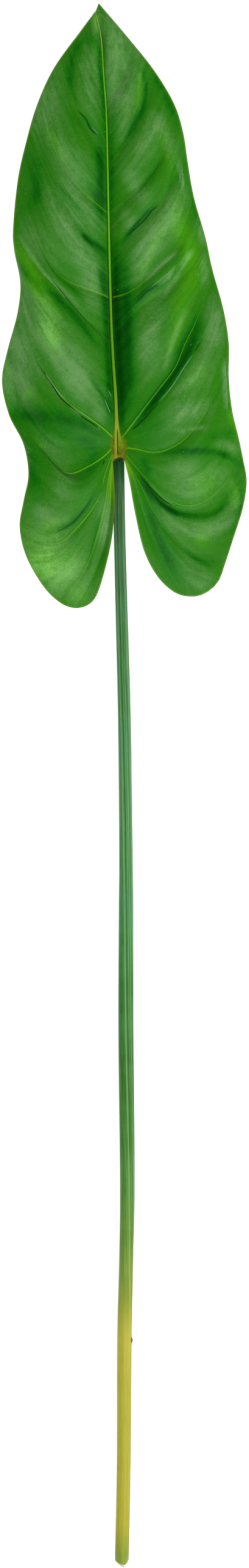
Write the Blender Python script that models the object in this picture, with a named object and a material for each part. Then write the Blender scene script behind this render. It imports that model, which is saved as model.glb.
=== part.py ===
"""Anthurium leaf, cut and lying face up: a heart-shaped blade on its long round stalk.

The leaf lies along Y with its tip at +Y, and all sizes below are in millimetres. They are measured from
the joint, where the stalk meets the blade at the top of the notch between the two lobes. An empty then
carries both pieces, so that the world's origin is at the middle of the leaf's box, on the surface.
"""

import math

import bmesh
import bpy
import numpy as np

MM = 0.001

# Driving sizes of the blade
THICKNESS = 0.85
RIB_COLUMNS = (0.25, 0.5, 0.75)  # points across the midrib, as shares of its width
COLUMNS = 13  # steps along a side vein, from the midrib to the margin
LEFT, RIGHT = -1, 1
CROWN_SKEW = {LEFT: 0.85, RIGHT: 0.72}  # under 1 moves a vein's highest point towards the midrib
PILLOW_SHARE = 0.085  # height of the swelling between two veins, as a share of the space between them
PILLOW_MOST = 2.3
PILLOW_SKEW = 1.45  # over 1 moves the swelling towards the vein above it
PILLOW_SPREAD = 0.8  # under 1 makes the swelling reach nearer to the midrib and the margin
VEIN_HALF_WIDTH = 0.65
VEIN_MOST_SHARE = 0.25  # most of the space beside a vein that its slope may take
VEIN_KEEL = 0.7  # how far a side vein stands out below the blade where it leaves the midrib

# Midrib: x, y, height of the blade's upper side, width, and how far its keel stands out below the blade
MIDRIB = (
    (-0.35, -0.3, 10.6, 5.5, 4.2),
    (-0.4, 4.0, 10.4, 5.3, 3.9),
    (-0.5, 8.0, 10.1, 5.0, 3.5),
    (-1.0, 12.5, 9.8, 3.3, 3.0),
    (-1.3, 19.0, 9.5, 2.2, 2.6),
    (-1.7, 30.0, 9.0, 1.8, 2.2),
    (-2.6, 43.0, 8.6, 1.6, 1.9),
    (-3.5, 59.0, 8.3, 1.5, 1.7),
    (-4.2, 80.0, 8.0, 1.4, 1.4),
    (-4.7, 101.0, 7.8, 1.3, 1.2),
    (-5.3, 130.0, 7.6, 1.2, 0.9),
    (-6.0, 159.0, 7.3, 1.0, 0.7),
    (-7.3, 178.0, 6.9, 0.9, 0.5),
    (-8.3, 194.0, 6.2, 0.7, 0.3),
    (-9.9, 202.5, 5.7, 0.5, 0.2),
    (-11.1, 207.0, 5.3, 0.3, 0.1),
)
COLLAR_END = 14.0  # above this the midrib is one ridge, and below it two with a groove between them
RIDGE_HEIGHT = 0.45
GROOVE_DEPTH = 0.35

# Margin of each half from the notch round the lobe to the tip: x, y and height of the upper side. Below
# zero it is pressed flat where the leaf rests on the surface.
MARGIN = {
    LEFT: (
        (-3.1, -0.3, 10.6),
        (-2.5, -9.0, 11.4),
        (-2.2, -19.0, 11.9),
        (-3.0, -31.0, 11.6),
        (-5.2, -44.0, 10.3),
        (-9.2, -58.8, 7.4),
        (-12.9, -65.2, 6.1),
        (-19.3, -67.7, 5.2),
        (-26.6, -65.6, 4.6),
        (-34.7, -58.0, 4.0),
        (-42.8, -44.0, 3.6),
        (-45.9, -30.2, 4.2),
        (-44.0, -18.0, 5.9),
        (-41.8, -6.0, 7.0),
        (-44.2, 8.0, 5.2),
        (-50.9, 21.6, 0.4),
        (-54.2, 37.0, -4.2),
        (-51.8, 51.0, -0.4),
        (-47.0, 68.0, 4.2),
        (-45.6, 82.0, 5.4),
        (-48.3, 96.5, 5.9),
        (-48.9, 107.0, 5.6),
        (-46.8, 129.4, 4.6),
        (-42.8, 147.6, 4.6),
        (-37.8, 164.4, 5.2),
        (-30.0, 181.2, 5.5),
        (-17.9, 198.0, 5.4),
        (-11.3, 206.9, 5.3),
    ),
    RIGHT: (
        (2.4, -0.3, 10.6),
        (4.8, -10.0, 11.5),
        (7.3, -24.0, 11.6),
        (11.2, -40.9, 10.2),
        (17.1, -52.6, 7.8),
        (24.9, -60.2, 5.8),
        (32.8, -62.4, 4.8),
        (39.7, -60.8, 4.0),
        (45.6, -55.5, 3.3),
        (49.0, -46.5, 2.7),
        (52.6, -35.5, 2.0),
        (57.0, -21.5, -1.0),
        (58.8, -9.2, -4.2),
        (57.2, 1.2, -1.6),
        (55.2, 10.4, 2.6),
        (52.0, 23.5, 5.0),
        (50.4, 38.4, 6.6),
        (50.4, 54.0, 7.0),
        (47.9, 70.0, 6.2),
        (42.8, 88.8, 4.8),
        (39.8, 102.8, 4.3),
        (34.4, 121.8, 4.0),
        (31.6, 137.8, 3.7),
        (29.4, 151.8, 3.9),
        (25.2, 164.9, 4.5),
        (16.2, 179.8, 5.3),
        (3.9, 195.2, 5.6),
        (-9.5, 211.1, 5.0),
    ),
}

# Where the pairs of side veins leave the midrib, from the notch to the tip. The first pair is the edge of
# the lobes, and the last is the edge at the tip.
VEIN_FEET = (-0.3, 0.7, 1.9, 3.4, 5.8, 10.5, 55.0, 75.0, 92.0, 114.0, 137.0, 165.0, 207.0)
# Rows of points from each pair to the next
PANEL_ROWS = (3, 7, 9, 9, 9, 9, 5, 5, 4, 4, 4, 5)
# Side veins of each half: points on the way from the midrib, the last one near the margin, then how far
# the vein arches above the straight line between its ends, and how far it stands out of the upper side
LOBE_TIP = {LEFT: (-15.0, -66.6), RIGHT: (22.5, -58.4)}
VEINS = {
    LEFT: (
        (((-3.8, -10.0), (-4.1, -20.0), (-5.6, -32.0), (-9.2, -46.5), (-14.5, -59.5), (-19.8, -67.7)), 1.0, 0.25),
        (((-5.2, -10.0), (-6.0, -17.0), (-8.2, -27.0), (-11.8, -40.0), (-16.8, -52.0), (-26.6, -65.6)), 2.0, 0.25),
        (((-6.8, -7.5), (-8.4, -15.0), (-12.5, -22.5), (-19.5, -31.0), (-27.0, -37.5), (-35.0, -37.5),
          (-45.6, -32.5)), 3.2, 0.3),
        (((-7.5, 1.6), (-13.5, -2.4), (-22.0, -6.0), (-29.0, -3.2), (-34.5, 4.2), (-40.0, 10.5), (-49.4, 18.0)),
         4.2, 0.35),
        (((-7.8, 15.0), (-15.5, 20.5), (-24.0, 26.6), (-30.0, 34.0), (-35.6, 42.0), (-41.5, 54.0),
          (-46.6, 69.5)), 4.6, 0.4),
        (((-11.0, 60.2), (-16.5, 65.5), (-23.0, 72.5), (-31.5, 82.5), (-38.0, 91.5), (-48.8, 109.0)), 6.2, 0.1),
        (((-11.5, 78.0), (-18.5, 80.2), (-25.2, 83.0), (-31.8, 89.5), (-36.6, 98.5), (-39.5, 108.0),
          (-46.4, 131.5)), 6.0, 0.25),
        (((-8.5, 96.0), (-14.2, 102.6), (-20.0, 110.0), (-25.6, 118.2), (-31.0, 128.0), (-41.2, 153.0)), 5.4, 0.15),
        (((-11.5, 119.0), (-18.0, 125.0), (-23.6, 131.5), (-28.2, 139.5), (-32.2, 149.5), (-37.2, 166.0)), 4.6, 0.15),
        (((-10.5, 145.0), (-16.0, 153.5), (-21.5, 162.5), (-28.8, 183.0)), 3.4, 0.15),
        (((-10.8, 173.5), (-15.0, 182.5), (-19.2, 196.5)), 1.8, 0.1),
    ),
    RIGHT: (
        (((5.2, -4.5), (8.0, -13.0), (11.2, -24.0), (15.8, -37.0), (21.0, -48.5), (28.6, -61.6)), 1.4, 0.25),
        (((5.0, -3.0), (9.6, -11.5), (14.2, -20.5), (20.2, -30.0), (27.6, -38.5), (36.0, -43.2), (50.4, -42.8)),
         2.8, 0.25),
        (((6.6, -2.2), (13.6, -10.2), (20.0, -16.2), (27.0, -20.0), (33.5, -20.6), (41.5, -17.2), (49.2, -9.6),
          (57.0, 1.8)), 3.8, 0.35),
        (((7.4, 5.2), (15.0, 3.6), (22.0, 4.8), (29.5, 9.2), (36.0, 16.8), (41.0, 24.6), (50.2, 44.0)), 4.6, 0.35),
        (((5.2, 15.6), (11.6, 24.0), (18.6, 33.0), (25.6, 42.4), (30.2, 53.5), (35.2, 64.0), (43.6, 86.0)),
         6.0, 0.4),
        (((2.6, 62.0), (10.2, 69.8), (18.6, 75.8), (26.4, 82.6), (33.4, 89.6), (40.4, 100.5)), 6.4, 0.1),
        (((3.2, 76.6), (8.6, 79.8), (13.4, 83.8), (19.0, 89.4), (25.4, 95.2), (30.2, 101.8), (34.6, 121.0)),
         6.2, 0.25),
        (((3.0, 100.4), (11.0, 109.8), (18.2, 117.6), (23.2, 125.0), (26.8, 132.6), (30.6, 144.5)), 5.4, 0.15),
        (((2.4, 119.6), (8.0, 124.2), (13.2, 129.4), (17.4, 135.2), (20.8, 142.2), (26.8, 160.5)), 4.6, 0.15),
        (((0.2, 142.8), (5.2, 150.2), (9.8, 159.4), (16.6, 179.2)), 3.2, 0.15),
        (((-1.2, 171.4), (2.8, 179.0), (6.6, 192.0)), 1.6, 0.1),
    ),
}

# Stalk: x, y and height of its middle line, and its radius
STALK = (
    (-0.35, -0.6, 7.75, 2.75),
    (-0.1, -12.0, 7.7, 2.62),
    (0.2, -32.0, 7.6, 2.65),
    (1.1, -68.0, 7.3, 2.8),
    (2.4, -118.0, 6.8, 2.95),
    (3.1, -180.0, 6.1, 3.1),
    (3.1, -210.0, 5.8, 3.35),
    (3.0, -265.0, 5.2, 3.5),
    (3.6, -330.0, 4.6, 3.4),
    (3.2, -365.0, 4.2, 3.25),
    (2.4, -405.0, 3.8, 3.35),
    (2.1, -462.0, 3.3, 3.2),
    (1.25, -506.0, 2.9, 3.2),
)
STALK_SIDES = 20
STALK_RING_GAP = 12.0
STALK_RIBS, STALK_RIB_SHARE = 3, 0.03  # soft ribs, and their height as a share of the radius
STALK_GROOVE_DEPTH, STALK_GROOVE_SPREAD = 0.35, math.radians(11)
# The groove turns slowly round the stalk: distance from the joint, then degrees from the top towards +X
GROOVE_TURN = ((0.0, -30.0), (96.0, -24.0), (180.0, -5.0), (236.0, 10.0), (340.0, 34.0), (404.0, 67.0), (506.0, 76.0))
# An old scar swells the stalk on its right side
SCAR_Y, SCAR_LENGTH, SCAR_HEIGHT = -403.0, 1.5, 0.5
SCAR_TURN, SCAR_SPREAD = math.radians(80), math.radians(16)
SCAR_RINGS = (-400.5, -402.0, -403.0, -404.0, -405.5)
# The torn cut end: distance from the stalk's middle line towards +X, then how far the stalk reaches past
# its last ring there. A tooth of skin is left, longest on the upper side.
CUT_REACH = ((-3.2, 0.2), (-1.0, 1.2), (0.0, 1.9), (1.2, 2.6), (1.5, 1.4), (2.0, 0.5), (3.2, -0.3))
CUT_UNDERSIDE_SHARE = 0.2  # how much of that reach is left on the underside

SHARP_ANGLE = math.radians(50)
BLADE_COLOUR, BLADE_ROUGHNESS = (0.045, 0.17, 0.02, 1), 0.38
STALK_COLOUR, STALK_ROUGHNESS = (0.16, 0.32, 0.07, 1), 0.45


def clear_scene():
    for old in list(bpy.data.objects):
        bpy.data.objects.remove(old)


def smooth_path(points, steps=16):
    """A close row of points on the smooth curve through the given ones, with as many values each."""
    p = np.array(points, float)
    p = np.vstack([2 * p[0] - p[1], p, 2 * p[-1] - p[-2]])
    t = np.linspace(0, 1, steps, endpoint=False)[:, None]
    spans = [
        b + t * (c - a) / 2 + t**2 * (a - 2.5 * b + 2 * c - d / 2) + t**3 * (1.5 * (b - c) + (d - a) / 2)
        for a, b, c, d in zip(p, p[1:], p[2:], p[3:])
    ]
    return np.vstack([*spans, p[-2]])


def shares_of(path):
    """How far along the path each of its points lies, from 0 to 1."""
    steps = np.linalg.norm(np.diff(path[:, :2], axis=0), axis=1)
    return np.concatenate([[0], np.cumsum(steps)]) / steps.sum()


def at(path, share):
    """Points at the given shares of the path's length."""
    places = shares_of(path)
    return np.stack([np.interp(share, places, path[:, i]) for i in range(path.shape[1])], axis=-1)


def share_near(path, point):
    """The share at which the path passes nearest to the point."""
    gap = np.linalg.norm(path[:, :2] - point, axis=1)
    return shares_of(path)[gap.argmin()]


def midrib_at(y):
    """x, height, width and keel of the midrib at the given y."""
    path = smooth_path(MIDRIB)
    return [np.interp(y, path[:, 1], path[:, i]) for i in (0, 2, 3, 4)]


def midrib_edge(side, y):
    """Points on one edge of the midrib."""
    x, height, width, _ = midrib_at(y)
    return np.stack([x + side * width / 2, y, height], axis=-1)


def side_vein(side, foot_y, points, arch, margin):
    """Points along a side vein from the midrib to the margin, and the share of the margin where it ends."""
    foot = midrib_edge(side, foot_y)
    end_share = share_near(margin, points[-1])
    end = at(margin, end_share)
    plan = at(smooth_path([foot[:2], *points[:-1], end[:2]]), np.linspace(0, 1, COLUMNS + 1))
    along = np.linspace(0, 1, COLUMNS + 1)
    height = foot[2] + (end[2] - foot[2]) * along + arch * np.sin(math.pi * along ** CROWN_SKEW[side])
    return np.column_stack([plan, height]), end_share


def rows_of_half(side):
    """The veins of one half from the notch to the tip, each with its share of the margin and its ridge."""
    margin = smooth_path(MARGIN[side])
    along = np.linspace(0, 1, COLUMNS + 1)
    lobe = share_near(margin, LOBE_TIP[side])
    rows = [(at(margin, along * lobe), lobe, 0)]
    for foot_y, (points, arch, ridge) in zip(VEIN_FEET[1:], VEINS[side]):
        rows.append((*side_vein(side, foot_y, points, arch, margin), ridge))
    top = midrib_edge(side, VEIN_FEET[-1])
    rows.append((top + (margin[-1] - top) * along[:, None], 1, 0))
    return margin, rows


def panel(side, margin, lower, upper, feet, count):
    """Rows of points that fill the space between two veins, both of them included, and their extra depth."""
    (a, a_end, a_ridge), (b, b_end, b_ridge) = lower, upper
    t = np.linspace(0, 1, COLUMNS + 1)
    space = np.linalg.norm(b[:, :2] - a[:, :2], axis=1)
    flank = np.minimum(VEIN_HALF_WIDTH / np.maximum(space, VEIN_HALF_WIDTH), VEIN_MOST_SHARE)
    steps = np.linspace(0, 1, count - 1)[:, None]
    u = np.vstack([np.zeros_like(t), flank + (1 - 2 * flank) * steps, np.ones_like(t)])
    foot = midrib_edge(side, feet[0] + (feet[1] - feet[0]) * u)
    rim = at(margin, a_end + (b_end - a_end) * u)
    u3, t3 = u[..., None], t[None, :, None]
    corners = (1 - u3) * ((1 - t3) * a[0] + t3 * a[-1]) + u3 * ((1 - t3) * b[0] + t3 * b[-1])
    points = (1 - u3) * a + u3 * b + (1 - t3) * foot + t3 * rim - corners
    pillow = np.minimum(PILLOW_SHARE * space, PILLOW_MOST) * np.sin(math.pi * t) ** PILLOW_SPREAD
    points[..., 2] += pillow * np.sin(math.pi * u**PILLOW_SKEW)
    fade = (1 - t**2) * np.minimum(t * COLUMNS, 1)
    keel = np.zeros(u.shape)
    for row, ridge in ((0, a_ridge), (-1, b_ridge)):
        points[row, :, 2] += ridge * fade
        keel[row] = (VEIN_KEEL if ridge else 0) * fade
    return points, keel


def half_blade(side):
    """One half of the blade: rows from the notch to the tip, columns from the midrib to the margin."""
    margin, rows = rows_of_half(side)
    points, keels = [], []
    for i, count in enumerate(PANEL_ROWS):
        grid, keel = panel(side, margin, rows[i], rows[i + 1], VEIN_FEET[i : i + 2], count)
        first = 0 if i == 0 else 1
        points.append(grid[first:])
        keels.append(keel[first:])
    return np.vstack(points), np.vstack(keels)


def midrib_strip(left_edge, right_edge):
    """The columns of points across the midrib, between its two edges."""
    columns, keels = [], []
    for share in RIB_COLUMNS:
        middle = left_edge + (right_edge - left_edge) * share
        _, _, width, keel = midrib_at(middle[:, 1])
        round_share = math.sin(math.pi * share)
        collar = np.clip((COLLAR_END - middle[:, 1]) / COLLAR_END, 0, 1)
        twin = RIDGE_HEIGHT if share != 0.5 else -GROOVE_DEPTH
        single = RIDGE_HEIGHT * round_share * np.minimum(width, 1)
        middle[:, 2] += collar * twin + (1 - collar) * single
        columns.append(middle)
        keels.append(keel * round_share)
    return np.stack(columns, axis=1), np.stack(keels, axis=1)


def blade_points():
    """Upper and lower points of the blade, as rows from the notch to the tip and columns from left to right."""
    left, left_keel = half_blade(LEFT)
    right, right_keel = half_blade(RIGHT)
    rib, rib_keel = midrib_strip(left[:, 0], right[:, 0])
    upper = np.concatenate([left[:, ::-1], rib, right], axis=1)
    depth = THICKNESS + np.concatenate([left_keel[:, ::-1], rib_keel, right_keel], axis=1)
    lower = upper.copy()
    lower[..., 2] = np.maximum(upper[..., 2] - depth, 0)
    upper[..., 2] = lower[..., 2] + depth
    return upper, lower


def make_object(name, vertices, faces, colour, roughness, parent):
    mesh = bpy.data.meshes.new(name)
    mesh.from_pydata(vertices * MM, [], faces)
    shape = bmesh.new()
    shape.from_mesh(mesh)
    bmesh.ops.remove_doubles(shape, verts=shape.verts, dist=1e-3 * MM)
    shape.to_mesh(mesh)
    shape.free()
    mesh.shade_smooth()
    mesh.set_sharp_from_angle(angle=SHARP_ANGLE)
    material = bpy.data.materials.new(name)
    material.use_nodes = True
    finish = material.node_tree.nodes["Principled BSDF"].inputs
    finish["Base Color"].default_value = colour
    finish["Roughness"].default_value = roughness
    finish["Metallic"].default_value = 0
    mesh.materials.append(material)
    made = bpy.data.objects.new(name, mesh)
    bpy.context.scene.collection.objects.link(made)
    made.parent = parent
    return made


def make_blade(parent):
    """One closed sheet, with the same triangles on its upper and lower side and a wall round its margin."""
    upper, lower = blade_points()
    rows, columns, _ = upper.shape
    number = np.arange(rows * columns).reshape(rows, columns)
    a, b, c, d = number[:-1, :-1], number[:-1, 1:], number[1:, 1:], number[1:, :-1]
    top = np.concatenate([np.stack([a, b, c], axis=-1), np.stack([a, c, d], axis=-1)]).reshape(-1, 3)
    bottom = top[:, ::-1] + number.size
    ring = np.concatenate([number[0, :-1], number[:-1, -1], number[-1, :0:-1], number[:0:-1, 0]])
    following = np.roll(ring, -1)
    wall = np.concatenate(
        [
            np.stack([ring, ring + number.size, following + number.size], axis=-1),
            np.stack([ring, following + number.size, following], axis=-1),
        ]
    )
    vertices = np.concatenate([upper.reshape(-1, 3), lower.reshape(-1, 3)])
    faces = np.concatenate([top, bottom, wall]).tolist()
    return make_object("blade", vertices, faces, BLADE_COLOUR, BLADE_ROUGHNESS, parent)


def stalk_rings():
    """Rings of points along the stalk, from the joint to the torn cut end."""
    path = smooth_path(STALK)
    first, last = STALK[0][1], STALK[-1][1]
    plain = np.linspace(first, last, round((first - last) / STALK_RING_GAP) + 1)
    stations = np.sort(np.concatenate([plain, SCAR_RINGS]))[::-1]
    x, height, radius = (np.interp(-stations, -path[:, 1], path[:, i])[:, None] for i in (0, 2, 3))
    distances, turns = zip(*GROOVE_TURN)
    groove = np.radians(np.interp(-stations, distances, turns))[:, None]
    beside = np.linspace(0, 2 * math.pi, STALK_SIDES, endpoint=False)[None, :]
    angle = groove + beside
    radius = radius * (1 + STALK_RIB_SHARE * np.cos(STALK_RIBS * beside + math.pi))
    beside = (beside + math.pi) % (2 * math.pi) - math.pi
    radius -= STALK_GROOVE_DEPTH * np.exp(-((beside / STALK_GROOVE_SPREAD) ** 2))
    scar = np.exp(-(((stations[:, None] - SCAR_Y) / SCAR_LENGTH) ** 2))
    radius += SCAR_HEIGHT * scar * np.exp(-(((angle - SCAR_TURN) / SCAR_SPREAD) ** 2))
    across, up = np.sin(angle), np.cos(angle)
    rings = np.stack([x + radius * across, stations[:, None] + 0 * angle, height + radius * up], axis=-1)
    reach = np.interp(rings[-1, :, 0] - x[-1], *zip(*CUT_REACH))
    rings[-1, :, 1] -= reach * (CUT_UNDERSIDE_SHARE + (1 - CUT_UNDERSIDE_SHARE) * (1 + up[-1]) / 2)
    rings[..., 2] = np.maximum(rings[..., 2], 0)
    return rings


def make_stalk(parent):
    """A grooved rod with a flat face at the joint and a torn one at the cut."""
    rings = stalk_rings()
    count, sides, _ = rings.shape
    number = np.arange(count * sides).reshape(count, sides)
    around = np.roll(number, -1, axis=1)
    skin = np.stack([number[:-1], number[1:], around[1:], around[:-1]], axis=-1).reshape(-1, 4)
    start, end = count * sides, count * sides + 1
    middles = rings[[0, -1]].mean(axis=1)
    caps = [(start, a, b) for a, b in zip(number[0], around[0])]
    caps += [(end, b, a) for a, b in zip(number[-1], around[-1])]
    vertices = np.concatenate([rings.reshape(-1, 3), middles])
    faces = skin.tolist() + [[int(i) for i in cap] for cap in caps]
    return make_object("petiole", vertices, faces, STALK_COLOUR, STALK_ROUGHNESS, parent)


def stand_on_origin(carrier, pieces):
    """Moves the carrier so that the middle of the leaf's box, at the surface, is the world's origin."""
    corners = np.array([v.co for piece in pieces for v in piece.data.vertices])
    middle = (corners.min(axis=0) + corners.max(axis=0)) / 2
    carrier.location = (-middle[0], -middle[1], 0)


clear_scene()
leaf = bpy.data.objects.new("leaf", None)
bpy.context.scene.collection.objects.link(leaf)
stand_on_origin(leaf, [make_blade(leaf), make_stalk(leaf)])
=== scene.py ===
"""A cut anthurium leaf, face up on white paper: a waxy heart-shaped blade on its long stalk.

Sizes are in millimetres from the joint, where the stalk meets the blade, with +Y towards the tip. Every mesh
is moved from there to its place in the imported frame, in metres.
"""

import math

import bpy
import numpy as np
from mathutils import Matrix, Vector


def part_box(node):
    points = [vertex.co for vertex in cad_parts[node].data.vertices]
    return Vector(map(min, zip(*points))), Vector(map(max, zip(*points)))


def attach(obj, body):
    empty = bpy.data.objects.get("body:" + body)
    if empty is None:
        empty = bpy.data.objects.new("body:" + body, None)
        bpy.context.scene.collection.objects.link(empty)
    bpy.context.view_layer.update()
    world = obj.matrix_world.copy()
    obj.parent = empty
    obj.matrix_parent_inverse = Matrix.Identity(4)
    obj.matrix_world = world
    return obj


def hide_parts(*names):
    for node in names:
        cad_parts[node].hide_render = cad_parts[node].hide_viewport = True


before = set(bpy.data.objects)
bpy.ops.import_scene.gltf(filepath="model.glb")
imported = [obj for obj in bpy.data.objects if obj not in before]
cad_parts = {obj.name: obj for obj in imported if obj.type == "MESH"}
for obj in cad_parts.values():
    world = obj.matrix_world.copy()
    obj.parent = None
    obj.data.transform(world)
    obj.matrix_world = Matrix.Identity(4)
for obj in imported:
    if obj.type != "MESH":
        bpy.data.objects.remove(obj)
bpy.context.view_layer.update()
bpy.ops.object.select_all(action="DESELECT")


# The margin and the midrib. They frame the real blade: the margin is a thin, slightly brown edge, waved
# where the blade grew faster than its veins, and the midrib is the stalk's strand, tapering to the tip.
MM = 0.001
LEFT, RIGHT = -1, 1

# x, y and height of the blade's upper side, from the notch round each lobe to the tip
MARGIN = {
    LEFT: (
        (-3.1, -0.3, 10.6), (-2.5, -9.0, 11.4), (-2.2, -19.0, 11.9), (-3.0, -31.0, 11.6),
        (-5.2, -44.0, 10.3), (-9.2, -58.8, 7.4), (-12.9, -65.2, 6.1), (-19.3, -67.7, 5.2),
        (-26.6, -65.6, 4.6), (-34.7, -58.0, 4.0), (-42.8, -44.0, 3.6), (-45.9, -30.2, 4.2),
        (-44.0, -18.0, 5.9), (-41.8, -6.0, 7.0), (-44.2, 8.0, 5.2), (-50.9, 21.6, 0.4),
        (-54.2, 37.0, -4.2), (-51.8, 51.0, -0.4), (-47.0, 68.0, 4.2), (-45.6, 82.0, 5.4),
        (-48.3, 96.5, 5.9), (-48.9, 107.0, 5.6), (-46.8, 129.4, 4.6), (-42.8, 147.6, 4.6),
        (-37.8, 164.4, 5.2), (-30.0, 181.2, 5.5), (-17.9, 198.0, 5.4), (-11.3, 206.9, 5.3),
    ),
    RIGHT: (
        (2.4, -0.3, 10.6), (4.8, -10.0, 11.5), (7.3, -24.0, 11.6), (11.2, -40.9, 10.2),
        (17.1, -52.6, 7.8), (24.9, -60.2, 5.8), (32.8, -62.4, 4.8), (39.7, -60.8, 4.0),
        (45.6, -55.5, 3.3), (49.0, -46.5, 2.7), (52.6, -35.5, 2.0), (57.0, -21.5, -1.0),
        (58.8, -9.2, -4.2), (57.2, 1.2, -1.6), (55.2, 10.4, 2.6), (52.0, 23.5, 5.0),
        (50.4, 38.4, 6.6), (50.4, 54.0, 7.0), (47.9, 70.0, 6.2), (42.8, 88.8, 4.8),
        (39.8, 102.8, 4.3), (34.4, 121.8, 4.0), (31.6, 137.8, 3.7), (29.4, 151.8, 3.9),
        (25.2, 164.9, 4.5), (16.2, 179.8, 5.3), (3.9, 195.2, 5.6), (-9.5, 211.1, 5.0),
    ),
}
LOBE_TIP = {LEFT: (-15.0, -66.6), RIGHT: (22.5, -58.4)}

# x, y, height of the upper side, width, and how far the keel stands out below the blade
MIDRIB = (
    (-0.35, -0.3, 10.6, 5.5, 4.2),
    (-0.4, 4.0, 10.4, 5.3, 3.9),
    (-0.5, 8.0, 10.1, 5.0, 3.5),
    (-1.0, 12.5, 9.8, 3.3, 3.0),
    (-1.3, 19.0, 9.5, 2.2, 2.6),
    (-1.7, 30.0, 9.0, 1.8, 2.2),
    (-2.6, 43.0, 8.6, 1.6, 1.9),
    (-3.5, 59.0, 8.3, 1.5, 1.7),
    (-4.2, 80.0, 8.0, 1.4, 1.4),
    (-4.7, 101.0, 7.8, 1.3, 1.2),
    (-5.3, 130.0, 7.6, 1.2, 0.9),
    (-6.0, 159.0, 7.3, 1.0, 0.7),
    (-7.3, 178.0, 6.9, 0.9, 0.5),
    (-8.3, 194.0, 6.2, 0.7, 0.3),
    (-9.9, 202.5, 5.7, 0.5, 0.2),
    (-11.1, 207.0, 5.3, 0.3, 0.1),
)


def smooth_path(points, steps=16):
    """A close row of points on the smooth curve through the given ones, with as many values each."""
    p = np.array(points, float)
    p = np.vstack([2 * p[0] - p[1], p, 2 * p[-1] - p[-2]])
    t = np.linspace(0, 1, steps, endpoint=False)[:, None]
    spans = [
        b + t * (c - a) / 2 + t**2 * (a - 2.5 * b + 2 * c - d / 2) + t**3 * (1.5 * (b - c) + (d - a) / 2)
        for a, b, c, d in zip(p, p[1:], p[2:], p[3:])
    ]
    return np.vstack([*spans, p[-2]])


def shares_of(path):
    """How far along the path each of its points lies, from 0 to 1."""
    steps = np.linalg.norm(np.diff(path[:, :2], axis=0), axis=1)
    return np.concatenate([[0], np.cumsum(steps)]) / steps.sum()


def at(path, share):
    """Points at the given shares of the path's length."""
    places = shares_of(path)
    return np.stack([np.interp(share, places, path[:, i]) for i in range(path.shape[1])], axis=-1)


def share_near(path, point):
    """The share at which the path passes nearest to the point."""
    gap = np.linalg.norm(path[:, :2] - point, axis=1)
    return shares_of(path)[gap.argmin()]


def midrib_at(y):
    """x, height, width and keel of the midrib at the given y."""
    path = smooth_path(MIDRIB)
    return [np.interp(y, path[:, 1], path[:, i]) for i in (0, 2, 3, 4)]


def midrib_edge(side, y):
    """Points on one edge of the midrib."""
    x, height, width, _ = midrib_at(y)
    return np.stack([x + side * width / 2, y, height], axis=-1)


STALK_TOP_Y = -0.6
margins = {side: smooth_path(MARGIN[side]) for side in (LEFT, RIGHT)}
joint_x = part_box("blade")[0].x / MM - margins[LEFT][:, 0].min()
joint = np.array([joint_x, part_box("petiole")[1].y / MM - STALK_TOP_Y, 0])


# Side veins and the skin between them. The skin is one sheet that stays low along its veins and swells
# between them like a quilt. It was drawn tight by the veins as it grew, so it also has folds beside them.
COLUMNS = 50  # steps along a side vein, from the midrib to the margin
CROWN_SKEW = {LEFT: 0.85, RIGHT: 0.72}  # under 1 moves a vein's highest point towards the midrib
PILLOW_SHARE, PILLOW_MOST = 0.085, 2.3
PILLOW_SKEW, PILLOW_SPREAD = 1.45, 0.8
VEIN_WIDTH = 0.45  # of the ridge over a vein, from its middle to where it has nearly run out
VEIN_KEEL, KEEL_WIDTH = 0.7, 0.6
VEIN_START = 1 / 13  # share of a vein in which its ridge rises out of the midrib
LIME_FADE = 0.3  # share of a vein over which its lime runs out
ROW_CROWDING = 0.62  # how much closer the rows of points lie beside a vein than halfway between two

# Where the pairs of side veins leave the midrib, and how many rows of points fill each space
VEIN_FEET = (-0.3, 0.7, 1.9, 3.4, 5.8, 10.5, 55.0, 75.0, 92.0, 114.0, 137.0, 165.0, 207.0)
PANEL_ROWS = (4, 14, 30, 40, 42, 44, 22, 20, 18, 20, 20, 22)
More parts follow.
